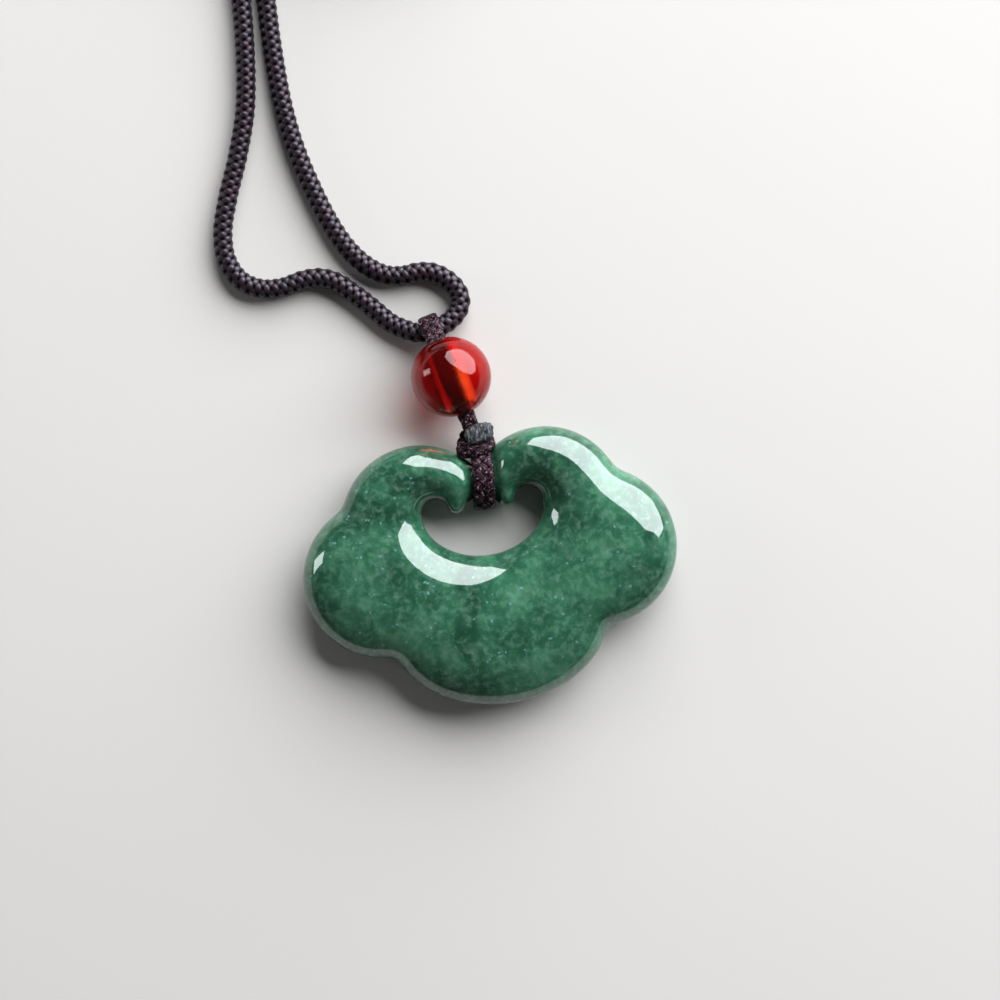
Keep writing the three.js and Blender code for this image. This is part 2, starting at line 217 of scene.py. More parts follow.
def braidTube(line, style, across, around, start=0.0, squeeze=None):
    # line: evenly spaced centre points; across: a direction that the section keeps level with
    rings = len(line) - 1
    bm = bmesh.new()
    bmesh.ops.create_grid(bm, x_segments=around, y_segments=rings, size=0.5)
    bm.loops.layers.uv.new("yarn")
    mesh = bpy.data.meshes.new("skin")
    bm.to_mesh(mesh)
    bm.free()
    flat = np.empty(len(mesh.vertices) * 3)
    mesh.vertices.foreach_get("co", flat)
    turn = flat[0::3] + 0.5
    ring = np.rint((flat[1::3] + 0.5) * rings).astype(int)
    run = start + np.linalg.norm(line[1] - line[0]) * np.arange(rings + 1)
    along = run / style["lead"]
    tangent = np.gradient(line, axis=0)
    tangent /= np.linalg.norm(tangent, axis=1)[:, None]
    level = np.broadcast_to(np.array(across, dtype=float), tangent.shape)
    side = level if style["flat"] else np.cross(level, tangent)
    up = np.cross(tangent, side)
    up /= np.linalg.norm(up, axis=1)[:, None]
    side = np.cross(up, tangent)
    height = braidSkin(style, turn, along[ring])[0]
    outline, out = section(style, turn)
    wide, thick = np.ones((2, rings + 1)) if squeeze is None else squeeze
    sideways = (outline[0] + out[0] * height) * wide[ring]
    upwards = (outline[1] + out[1] * height) * thick[ring]
    placed = line[ring] + side[ring] * sideways[:, None] + up[ring] * upwards[:, None]
    corner = np.empty(len(mesh.loops), dtype=np.int64)
    mesh.loops.foreach_get("vertex_index", corner)
    faceTurn = turn[corner].reshape(-1, 4).mean(axis=1)
    faceAlong = along[ring][corner].reshape(-1, 4).mean(axis=1)
    first = np.repeat(braidSkin(style, faceTurn, faceAlong)[1], 4)
    _, _, a, b = braidSkin(style, turn[corner], along[ring][corner])
    yarn = np.stack([np.where(first, a, b + 0.37), np.where(first, b, a)], axis=1)
    mesh.uv_layers["yarn"].data.foreach_set("uv", yarn.ravel())
    mesh.vertices.foreach_set("co", placed.ravel())
    relief = mesh.attributes.new("relief", "FLOAT", "POINT")
    relief.data.foreach_set("value", np.clip(height / (style["rise"] + style["pillow"]), 0, 1))
    bm = bmesh.new()
    bm.from_mesh(mesh)
    bpy.data.meshes.remove(mesh)
    bmesh.ops.remove_doubles(bm, verts=[v for v in bm.verts if v.is_boundary], dist=1e-7)
    bmesh.ops.holes_fill(bm, edges=[e for e in bm.edges if e.is_boundary], sides=0)
    bmesh.ops.recalc_face_normals(bm, faces=bm.faces)
    return bm


def gather(parts):
    # several meshes as one
    whole = bmesh.new()
    for bm in parts:
        mesh = bpy.data.meshes.new("part")
        bm.to_mesh(mesh)
        bm.free()
        whole.from_mesh(mesh)
        bpy.data.meshes.remove(mesh)
    return whole


# Necklace cord: coiled in two layers behind the pendant, loose in between.

cord = {
    "radius": 0.75 * mm, "spread": 0, "flat": False,
    "carriers": 4, "lead": 2.6 * mm, "rise": 0.06 * mm, "pillow": 0.19 * mm, "thread": 0, "threads": 0,
    "around": 40, "ring": 0.108 * mm,  # where the camera sees it
    "coilAround": 24, "coilEvery": 2,  # coarser where it is coiled
    "dark": (0.0008, 0.0003, 0.0006), "mid": (0.006, 0.0035, 0.006), "lit": (0.03, 0.023, 0.034),
    "plum": (0.022, 0.008, 0.012),
    "length": 0.63,
}
coil = {
    "x": 0, "y": 60.6, "outer": 12, "inner": 4.5, "turns": 5, "perTurn": 18,
    "end": 2.0, "tail": 3, "low": 1.2, "high": 2.74, "highEnd": 2.5, "exit": 1.7,
}
cordRoute = [
    (-12.0, 53.8, 1.2), (-12.0, 51.0, 0.98), (-12.0, 47.5, 0.78), (-12.2, 42.5, 0.75),
    (-12.9, 37.0, 0.75), (-14.0, 33.4, 0.75), (-15.2, 30.4, 0.75), (-16.0, 27.8, 0.75),
    (-16.0, 25.7, 0.75), (-15.2, 24.1, 0.75), (-13.8, 23.25, 0.75), (-12.2, 23.1, 0.75),
    (-10.7, 23.4, 0.75), (-9.4, 23.4, 0.75), (-8.3, 22.95, 0.75), (-7.22, 22.04, 0.75),
    (-5.93, 20.7, 0.75), (-4.66, 19.3, 0.78), (-3.75, 18.7, 0.92), (-2.8, 18.26, 1.15),
    (-1.69, 18.3, 1.3), (-0.55, 18.64, 1.15), (0.4, 19.38, 0.92), (0.74, 20.3, 0.78),
    (0.45, 21.25, 0.75), (-0.3, 22.1, 0.75), (-1.2, 22.6, 0.75), (-2.2, 22.72, 0.75),
    (-3.2, 22.65, 0.75), (-4.4, 22.85, 0.75), (-5.6, 23.6, 0.75), (-6.9, 25.1, 0.75),
    (-8.0, 27.3, 0.75), (-9.0, 30.3, 0.75), (-9.8, 33.6, 0.75), (-10.2, 37.0, 0.75),
    (-10.3, 41.5, 0.75), (-10.25, 46.3, 0.85), (-10.7, 49.4, 1.45), (-11.5, 52.0, 2.35),
    (-12.0, 53.8, 2.74),
]
seenFrom, seenTo = (-12.0, 47.5, 0.78), (-10.25, 46.3, 0.85)  # the stretch with the finer skin


def spiral(level, endLevel):
    # from the outermost turn's left point clockwise to the knot in the middle
    made = []
    total = coil["turns"] * coil["perTurn"]
    pitch = (coil["outer"] - coil["inner"]) / coil["turns"]
    for k in range(total + coil["tail"] + 1):
        turns = k / coil["perTurn"]
        past = max(0, k - total) / coil["tail"]
        inwards = coil["inner"] - coil["end"] - pitch * (k - total) / coil["perTurn"]
        radius = coil["outer"] - pitch * turns - past * inwards
        angle = math.pi - 2 * math.pi * turns
        z = level + (endLevel - level) * past
        made.append((coil["x"] + radius * math.cos(angle), coil["y"] + radius * math.sin(angle), z))
    return made


def cordMaterial():
    material, tree, shader = newMaterial("braidedCord")
    yarn = put(tree, "UVMap", uv_map="yarn").outputs["UV"]
    relief = put(tree, "Attribute", attribute_name="relief").outputs["Fac"]
    where = put(tree, "TexCoord").outputs["Object"]
    threads = put(tree, "Mapping", {"Vector": yarn, "Scale": (20, 1.1, 1)})
    strands = noiseOn(tree, threads.outputs["Vector"], 1, 3, 0.6)
    patches = noiseOn(tree, where, 900, 2)
    # painted shade: the creases between carriers are darkened by the relief and the carriers' tops painted
    # lighter, and the reflections are dimmed in the creases too
    shade = remap(tree, relief, 0.66, 0.9)
    lit = blendColour(tree, remap(tree, strands.outputs["Fac"], 0.38, 0.68), cord["mid"], cord["lit"])
    lit = blendColour(tree, remap(tree, patches.outputs["Fac"], 0.45, 0.7, 0, 0.8), lit, cord["plum"])
    tree.links.new(blendColour(tree, shade, cord["dark"], lit), shader.inputs["Base Color"])
    gloss = remap(tree, strands.outputs["Fac"], 0.3, 0.7, 0.24, 0.38)
    tree.links.new(remap(tree, shade, 0, 1, 0.9, gloss), shader.inputs["Roughness"])
    tint = blendColour(tree, shade, (0.1, 0.06, 0.08), (0.95, 0.85, 1))
    tree.links.new(tint, shader.inputs["Specular Tint"])
    bump = put(tree, "Bump", {"Strength": 0.55, "Distance": 0.00003, "Height": strands.outputs["Fac"]})
    tree.links.new(bump.outputs["Normal"], shader.inputs["Normal"])
    return material


cordFinish = cordMaterial()


def makeNecklaceCord():
    lower = [place(*p) for p in reversed(spiral(coil["low"], coil["low"]))]
    upper = [place(*p) for p in spiral(coil["high"], coil["highEnd"])]
    route = [place(*p) for p in cordRoute]
    points = np.array([*lower, *route, *upper])
    step, skip = cord["ring"], cord["coilEvery"]
    fine, length = smoothLine(points, step)
    first, last = (int(np.argmin(np.linalg.norm(fine - place(*p), axis=1))) for p in (seenFrom, seenTo))
    lap = 2 * skip  # how far the coarser skin runs under the finer one
    start = (first + lap) % skip
    above = (0, 0, 1)
    parts = [
        braidTube(fine[first : last + 1], cord, above, cord["around"], first * step),
        braidTube(fine[start : first + lap + 1 : skip], cord, above, cord["coilAround"], start * step),
        braidTube(fine[last - lap :: skip], cord, above, cord["coilAround"], (last - lap) * step),
    ]
    thing = addObject("braided_cord", gather(parts), cordFinish)
    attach(thing, "root")
    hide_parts("necklace_cord", "necklace_coil")
    return thing, points, length


necklaceCord, cordPoints, cordLength = makeNecklaceCord()
print("necklace cord", len(necklaceCord.data.polygons), "faces", round(cordLength, 4), "m")

closing = {"lobe": 0.55, "height": 0.74, "middle": 1.68, "points": 64, "ring": 0.16 * mm, "around": 32}


def makeClosingKnot():
    # one overhand knot of the same cord, drawn up small
    line = []
    for k in range(closing["points"] + 1):
        t = 2 * math.pi * k / closing["points"]
        line.append(place(
            coil["x"] + closing["lobe"] * (math.sin(t) + 2 * math.sin(2 * t)),
            coil["y"] + closing["lobe"] * (math.cos(t) - 2 * math.cos(2 * t)),
            closing["middle"] - closing["height"] * math.sin(3 * t),
        ))
    fine, _ = smoothLine(np.array(line), closing["ring"])
    thing = addObject("closing_knot_cord", braidTube(fine, cord, (0, 0, 1), closing["around"]), cordFinish)
    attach(thing, "root")
    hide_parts("closing_knot")
    return thing


closingKnot = makeClosingKnot()

tie = {
    "inner": 3.39, "outer": 12.95, "low": 0.32, "high": 3.67, "thick": 0.27, "width": 1.8, "corner": 0.7,
    "edge": 0.07, "dark": (0.008, 0.008, 0.009), "pale": (0.03, 0.03, 0.034),
}


def tieMaterial():
    material, tree, shader = newMaterial("tieBand")
    where = put(tree, "TexCoord").outputs["Object"]
    weave = put(tree, "TexChecker", {"Vector": where, "Scale": 9000})
    grain = noiseOn(tree, where, 2600, 3)
    tone = ramp(tree, grain.outputs["Fac"], [(0.3, tie["dark"]), (0.75, tie["pale"])])
    tree.links.new(tone, shader.inputs["Base Color"])
    tree.links.new(remap(tree, grain.outputs["Fac"], 0.3, 0.7, 0.4, 0.65), shader.inputs["Roughness"])
    bump = put(tree, "Bump", {"Strength": 0.4, "Distance": 0.00004, "Height": weave.outputs["Fac"]})
    tree.links.new(bump.outputs["Normal"], shader.inputs["Normal"])
    return material


def makeTie():
    # a flat band bent round the coil's section
    y0, y1 = coil["y"] + tie["inner"], coil["y"] + tie["outer"]
    bm = bmesh.new()
    square = bmesh.ops.create_grid(bm, x_segments=1, y_segments=1, size=0.5)["verts"]
    bmesh.ops.delete(bm, geom=list(bm.faces), context="FACES_ONLY")
    for v in square:
        y = y0 + (v.co.x + 0.5) * (y1 - y0)
        z = tie["low"] + (v.co.y + 0.5) * (tie["high"] - tie["low"])
        v.co = Vector(place(-tie["width"] / 2, y, z))
    bmesh.ops.bevel(
        bm, geom=list(bm.verts), offset=tie["corner"] * mm, segments=6, profile=0.5,
        affect="VERTICES", material=-1,
    )
    swept = bmesh.ops.extrude_edge_only(bm, edges=list(bm.edges))["geom"]
    moved = [g for g in swept if isinstance(g, bmesh.types.BMVert)]
    bmesh.ops.translate(bm, vec=(tie["width"] * mm, 0, 0), verts=moved)
    bmesh.ops.recalc_face_normals(bm, faces=bm.faces)
    bmesh.ops.solidify(bm, geom=list(bm.faces), thickness=-tie["thick"] * mm)
    bmesh.ops.recalc_face_normals(bm, faces=bm.faces)
    sharp = [e for e in bm.edges if e.is_manifold and e.calc_face_angle() > math.radians(50)]
    bmesh.ops.bevel(
        bm, geom=sharp, offset=tie["edge"] * mm, segments=2, profile=0.5, affect="EDGES", material=-1
    )
    thing = addObject("coil_tie_band", bm, tieMaterial())
    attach(thing, "root")
    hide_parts("coil_tie")
    return thing


tieBand = makeTie()
print("cord put away")

# Thin hanging cord: doubled, its two strands side by side as one flat band.

thinCord = {
    "radius": 0.38 * mm, "spread": 0.74 * mm, "flat": True,
    "carriers": 4, "lead": 3.1 * mm, "rise": 0.03 * mm, "pillow": 0.08 * mm,
    "thread": 0.02 * mm, "threads": 3, "around": 72, "ring": 0.068 * mm,
    "dark": (0.0007, 0.0002, 0.0005), "body": (0.006, 0.002, 0.004),
    "pink": (0.16, 0.045, 0.085), "pale": (0.4, 0.27, 0.31),
}
wrapCord = dict(thinCord, radius=0.42 * mm, spread=0.86 * mm, lead=3.4 * mm)
bead = {"x": -0.81, "y": 14.57, "radius": 2.98, "bore": 0.85, "rim": 0.09, "lean": math.radians(13.3)}
crossing = (-1.69, 18.3, 1.3)
knotAt, knotFoot = (0.18, 9.75, 2.45), (0.32, 8.85, 2.5)
wrapLine = {"foot": 0.31, "slope": 0.1, "from": 5.5, "to": 7.8}  # its lean to the right, up the bridge
wrapSide = [
    # y and height, from the knot over the bridge's face, through the hole and up its back
    (9.3, 2.3), (8.9, 2.75), (8.3, 3.1), (7.5, 3.38), (6.8, 3.46), (6.05, 3.32),
    (5.38, 2.95), (4.92, 2.35), (4.9, 1.65), (5.32, 0.98), (6.05, 0.65), (6.8, 0.58),
    (7.5, 0.6), (8.3, 0.64), (9.0, 0.88), (9.44, 1.4), (9.54, 2.1),
]
knot = {
    "x": 0.25, "y": 9.52, "z": 2.62, "from": math.radians(205), "turns": 1.97, "lean": math.radians(3),
    "wide": (0.85, 1.16), "deep": (0.5, 0.78), "tall": 0.4, "sag": 0.3, "points": 36,
}
knotCord = dict(thinCord, radius=0.4 * mm, spread=0.26 * mm)
alongBore = (-math.sin(bead["lean"]), math.cos(bead["lean"]), 0)
besideBore = (math.cos(bead["lean"]), math.sin(bead["lean"]), 0)


def byBore(along, z):
    # a point of the bore's line, by its distance from the bead's middle, at a height
    return place(bead["x"] + along * alongBore[0], bead["y"] + along * alongBore[1], z)


def hangerMaterial():
    material, tree, shader = newMaterial("thinCord")
    yarn = put(tree, "UVMap", uv_map="yarn").outputs["UV"]
    relief = put(tree, "Attribute", attribute_name="relief").outputs["Fac"]
    threads = put(tree, "Mapping", {"Vector": yarn, "Scale": (5.5, 1.5, 1)})
    strands = noiseOn(tree, threads.outputs["Vector"], 1, 2)
    # painted highlights: short pink and pale dashes along the threads, where they catch the light
    dashes = put(tree, "Mapping", {"Vector": yarn, "Scale": (6, 2.6, 1), "Location": (3.1, 1.7, 0)})
    glints = noiseOn(tree, dashes.outputs["Vector"], 1, 1)
    hue = noiseOn(tree, put(tree, "TexCoord").outputs["Object"], 2600, 1)
    # painted shade: the braid's creases are darkened by the relief, with their reflections dimmed there too
    shade = remap(tree, relief, 0.5, 0.95)
    body = remap(tree, strands.outputs["Fac"], 0.4, 0.62)
    body = blendColour(tree, body, thinCord["dark"], thinCord["body"])
    bright = remap(tree, hue.outputs["Fac"], 0.42, 0.58)
    bright = blendColour(tree, bright, thinCord["pink"], thinCord["pale"])
    lit = blendColour(tree, remap(tree, glints.outputs["Fac"], 0.55, 0.66, 0, 0.7), body, bright)
    tree.links.new(blendColour(tree, shade, thinCord["dark"], lit), shader.inputs["Base Color"])
    gloss = remap(tree, strands.outputs["Fac"], 0.3, 0.7, 0.28, 0.45)
    tree.links.new(remap(tree, shade, 0, 1, 0.9, gloss), shader.inputs["Roughness"])
    tint = blendColour(tree, shade, (0.04, 0.02, 0.03), (0.6, 0.4, 0.5))
    tree.links.new(tint, shader.inputs["Specular Tint"])
    bump = put(tree, "Bump", {"Strength": 0.5, "Distance": 0.00002, "Height": strands.outputs["Fac"]})
    tree.links.new(bump.outputs["Normal"], shader.inputs["Normal"])
    return material


def pairAlong(points, across, style, flatness=None):
    # the doubled cord along a line; flatness gives its width and thickness at each point
    line, _ = smoothLine(np.array(points), style["ring"])
    squeeze = None
    if flatness is not None:
        at = np.linspace(0, 1, len(line))
        given = np.linspace(0, 1, len(flatness))
        squeeze = [np.interp(at, given, [f[k] for f in flatness]) for k in (0, 1)]
    return braidTube(line, style, across, style["around"], 0.0, squeeze)


def topLoop():
    # from inside the bead up over the necklace cord, round it and back down
    reach = math.hypot(crossing[0] - bead["x"], crossing[1] - bead["y"])
    z = crossing[2]
    clear = 1.0
    bore = bead["radius"]  # the bore's height
    points = [
        byBore(1.9, bore), byBore(2.75, bore), byBore(reach - 0.6, z + 1.35), byBore(reach, z + 1.1),
        byBore(reach + 0.72, z + 0.71), byBore(reach + clear, z), byBore(reach + 0.71, z - 0.7),
        byBore(reach, z - clear), byBore(reach - 0.71, z - 0.74), byBore(reach - 1.05, z - 0.1),
        byBore(reach - 0.83, z + 0.55), byBore(reach - 0.77, z + 0.98), byBore(reach - 1.4, z + 1.35),
    ]
    flat = [(1, 0.85), (1, 0.9), (1.06, 0.95), (1.12, 0.85), (1.08, 0.5)] + [(1.0, 0.42)] * 8
    return pairAlong(points, besideBore, thinCord, flat)


def throughBead():
    # down the bore, into the knot and out below it
    bore = bead["radius"]
    points = [
        byBore(2.75, bore), byBore(0, bore), byBore(-2.9, bore), byBore(-3.8, bore - 0.1),
        place(*knotAt), place(*knotFoot),
    ]
    flat = [(0.98, 1), (0.98, 1), (0.98, 1), (1.05, 1), (0.9, 1.1), (0.8, 1.1), (0.75, 1)]
    return pairAlong(points, besideBore, thinCord, flat)


def roundBridge():
    points = []
    for y, z in wrapSide:
        x = wrapLine["foot"] + wrapLine["slope"] * (min(y, wrapLine["to"]) - wrapLine["from"])
        points.append(place(x, y, z))
    narrow = [(0.72, 0.9), (0.92, 1.0)]
    return pairAlong(points, (1, 0, 0), wrapCord, narrow + [(1.0, 1.0)] * 9)


def knotTurns():
    # overhand knot: the doubled cord drawn round itself
    points = []
    sin, cos = math.sin(knot["lean"]), math.cos(knot["lean"])
    for k in range(knot["points"]):
        share = k / (knot["points"] - 1)
        angle = knot["from"] + 2 * math.pi * knot["turns"] * share
        wide, deep = (first + (last - first) * share for first, last in (knot["wide"], knot["deep"]))
        x = wide * math.cos(angle)
        y = knot["tall"] * (1 - 2 * share) - knot["sag"] * math.sin(angle)
        leaned = (knot["x"] + x * cos - y * sin, knot["y"] + x * sin + y * cos)
        points.append(place(*leaned, knot["z"] + deep * math.sin(angle)))
    return pairAlong(points, (-sin, cos, 0), knotCord)


def makeHanger():
    parts = [topLoop(), throughBead(), roundBridge(), knotTurns()]
    thing = addObject("thin_hanging_cord", gather(parts), hangerMaterial())
    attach(thing, "root")
    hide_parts("hanger_cord")
    return thing


hanger = makeHanger()
print("thin cord", len(hanger.data.polygons), "faces")

stub = {
    "at": (0.62, 10.1, 3.32), "size": (2.1, 1.56, 1.28), "lean": math.radians(9),
    "bevel": 0.34, "roundings": 14, "coarse": 0.06, "fine": 0.05, "hatch": math.radians(-12),
    "dark": (0.005, 0.006, 0.008), "slate": (0.026, 0.031, 0.037), "pale": (0.26, 0.29, 0.31),
    "soot": (0.012, 0.011, 0.014),
}


def stubMaterial():
    material, tree, shader = newMaterial("meltedCord")
    where = put(tree, "TexCoord").outputs["Object"]
    turned = {"Vector": where, "Rotation": (0, 0, stub["hatch"]), "Scale": (8000, 2400, 4500)}
    lines = put(tree, "Mapping", turned)
    hatch = noiseOn(tree, lines.outputs["Vector"], 1, 4, 0.75)
    cloud = noiseOn(tree, where, 1500, 3)
    stops = [(0.4, stub["dark"]), (0.52, stub["slate"]), (0.68, stub["pale"])]
    tone = ramp(tree, hatch.outputs["Fac"], stops)
    tone = blendColour(tree, remap(tree, cloud.outputs["Fac"], 0.35, 0.7, 0, 0.6), tone, stub["soot"])
    tree.links.new(tone, shader.inputs["Base Color"])
    shader.inputs["Roughness"].default_value = 0.45
    shader.inputs["Specular IOR Level"].default_value = 0.3
    bump = put(tree, "Bump", {"Strength": 0.8, "Distance": 0.00006, "Height": hatch.outputs["Fac"]})
    tree.links.new(bump.outputs["Normal"], shader.inputs["Normal"])
    return material


def makeStub():
    # the two cut ends, melted together into one blunt lump
    bm = bmesh.new()
    bmesh.ops.create_cube(bm, size=1)
    bmesh.ops.bevel(
        bm, geom=list(bm.edges), offset=stub["bevel"], segments=3, profile=0.5, affect="EDGES", material=-1
    )
    bmesh.ops.subdivide_edges(bm, edges=list(bm.edges), cuts=3, use_grid_fill=True)
    for _ in range(stub["roundings"]):
        bmesh.ops.smooth_vert(
            bm, verts=bm.verts, factor=0.5, use_axis_x=True, use_axis_y=True, use_axis_z=True
        )
    bmesh.ops.recalc_face_normals(bm, faces=bm.faces)
    bm.normal_update()
    for v in bm.verts:
        coarse = noise.noise(v.co * 3.1 + Vector((4, 1, 7)))
        fine = noise.noise(Vector((v.co.x * 14, v.co.y * 5, v.co.z * 9)))
        v.co += v.normal * (stub["coarse"] * coarse + stub["fine"] * fine)
    sized = Matrix.Diagonal((*[side * mm for side in stub["size"]], 1))
    turned = Matrix.Rotation(stub["lean"], 4, "Z") @ sized
    bmesh.ops.transform(bm, matrix=Matrix.Translation(place(*stub["at"])) @ turned, verts=bm.verts)
    thing = addObject("melted_cord_end", bm, stubMaterial())
    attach(thing, "root")


makeStub()
print("melted end")

# Agate bead: clear red stone, with a drilled bore whose wall is frosted, and painted shade and painted light
# along the bore.

agate = {
    # shadow is painted shade and the last colour a painted glow; wall is the bore wall's painted lit side
    "deep": (0.66, 0.0015, 0.002), "red": (0.8, 0.003, 0.003), "orange": (0.9, 0.014, 0.004),
    "wall": (1.0, 0.5, 0.1), "shadow": (0.05, 0.0005, 0.0005), "paintedGlow": (0.95, 0.2, 0.03),
}


def fromBore(tree, where, direction):
    # distance from the bead's middle along a level direction
    middle = float(np.dot(place(bead["x"], bead["y"], 0), direction))
    reach = put(tree, "VectorMath", {0: where, 1: direction}, operation="DOT_PRODUCT").outputs["Value"]
    return calc(tree, "SUBTRACT", reach, middle)


def agateMaterial():
    material, tree, shader = newMaterial("redAgate")
    where = put(tree, "TexCoord").outputs["Object"]
    cloud = noiseOn(tree, where, 420, 4, 0.55)
    stops = [(0.3, agate["deep"]), (0.52, agate["red"]), (0.75, agate["orange"])]
    stone = ramp(tree, cloud.outputs["Fac"], stops)
    aside = fromBore(tree, where, besideBore)
    along = fromBore(tree, where, alongBore)
    # painted shade: a dark band over the bore, standing for the cord seen through the stone, and beside it a
    # painted glowing streak, where light gathers along the bore
    off = calc(tree, "ABSOLUTE", calc(tree, "ADD", aside, 0.38 * mm))
    stone = blendColour(tree, remap(tree, off, 1.35 * mm, 0.8 * mm, 0, 0.75), stone, agate["shadow"])
    off = calc(tree, "ABSOLUTE", calc(tree, "SUBTRACT", aside, 0.8 * mm))
    paintedGlow = remap(tree, off, 0.5 * mm, 0.15 * mm)
    paintedGlow = calc(tree, "MULTIPLY", paintedGlow, remap(tree, along, 1.1 * mm, -0.6 * mm))
    paintedGlow = calc(tree, "MULTIPLY", paintedGlow, remap(tree, along, -2.5 * mm, -2.0 * mm, 0, 0.85))
    tree.links.new(blendColour(tree, paintedGlow, stone, agate["paintedGlow"]), shader.inputs["Base Color"])
    shader.inputs["Transmission Weight"].default_value = 0.82
    shader.inputs["Roughness"].default_value = 0.02
    shader.inputs["IOR"].default_value = 1.5
    shader.inputs["Specular Tint"].default_value = (1, 0.65, 0.68, 1)
    shader.inputs["Subsurface Weight"].default_value = 0.8
    shader.inputs["Subsurface Radius"].default_value = (1.0, 0.2, 0.1)
    shader.inputs["Subsurface Scale"].default_value = 0.0015
    return material


def wallMaterial():
    material, tree, shader = newMaterial("drilledAgate")
    where = put(tree, "TexCoord").outputs["Object"]
    rings = noiseOn(tree, where, 3000, 3)
    aside = fromBore(tree, where, besideBore)
    lit = blendColour(tree, rings.outputs["Fac"], agate["orange"], agate["wall"])
    side = remap(tree, aside, 0.1 * mm, 0.5 * mm)  # painted light on its right side and painted shade on its left, in its colour and in the tint of its reflections
    tree.links.new(blendColour(tree, side, agate["shadow"], lit), shader.inputs["Base Color"])
    tint = blendColour(tree, side, agate["shadow"], agate["wall"])
    tree.links.new(tint, shader.inputs["Specular Tint"])
    tree.links.new(remap(tree, rings.outputs["Fac"], 0.3, 0.7, 0.12, 0.22), shader.inputs["Roughness"])
    shader.inputs["Transmission Weight"].default_value = 0.97
    shader.inputs["IOR"].default_value = 1.5
    return material


def makeBead():
    # the round skin and the bore's wall, spun round the bore
    mouth = math.asin(bead["bore"] / bead["radius"])
    depth = bead["radius"] * math.cos(mouth)
    skinSteps, boreSteps, roundSteps = 40, 16, 96
    radius = bead["radius"] * mm
    bm = bmesh.new()
    profile = []
    for k in range(skinSteps + 1):
        turn = mouth + (math.pi - 2 * mouth) * k / skinSteps
        profile.append(bm.verts.new((radius * math.sin(turn), radius * math.cos(turn), 0)))
    for k in range(1, boreSteps):
        profile.append(bm.verts.new((bead["bore"] * mm, (-depth + 2 * depth * k / boreSteps) * mm, 0)))
    for k, v in enumerate(profile):
        bm.edges.new((v, profile[(k + 1) % len(profile)]))
    bmesh.ops.spin(
        bm, geom=[*bm.verts, *bm.edges], cent=(0, 0, 0), axis=(0, 1, 0),
        angle=2 * math.pi, steps=roundSteps, use_merge=True,
    )
    bmesh.ops.remove_doubles(bm, verts=bm.verts, dist=1e-7)
    steep = math.radians(40)
    rims = [
        e for e in bm.edges
        if e.is_manifold and e.calc_face_angle() > steep
        and max(abs(v.co.y) for v in e.verts) > 0.8 * depth * mm
    ]
    bmesh.ops.bevel(
        bm, geom=rims, offset=bead["rim"] * mm, segments=4, profile=0.5, affect="EDGES", material=-1
    )
    bmesh.ops.recalc_face_normals(bm, faces=bm.faces)
    for face in bm.faces:
        middle = face.calc_center_median()
        face.material_index = int(math.hypot(middle.x, middle.z) < 1.01 * bead["bore"] * mm)
    moved = Matrix.Translation(place(bead["x"], bead["y"], bead["radius"]))
    bmesh.ops.transform(bm, matrix=moved @ Matrix.Rotation(bead["lean"], 4, "Z"), verts=bm.verts)
    thing = addObject("red_agate_bead", bm, agateMaterial(), wallMaterial())
    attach(thing, "root")
    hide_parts("agate_bead")


makeBead()
print("bead")

# Jade plaque: polished, half clear stone with cloudy patches and pale flecks.

jade = {
    "deep": (0.006, 0.038, 0.02), "green": (0.016, 0.084, 0.046), "light": (0.045, 0.16, 0.09),
    "cotton": (0.15, 0.29, 0.21), "blue": (0.13, 0.32, 0.32), "rimHigh": 3.6 * mm, "rimLow": 1.4 * mm,
    "sway": 0.025 * mm,  # how far hand polishing leaves the face uneven
}


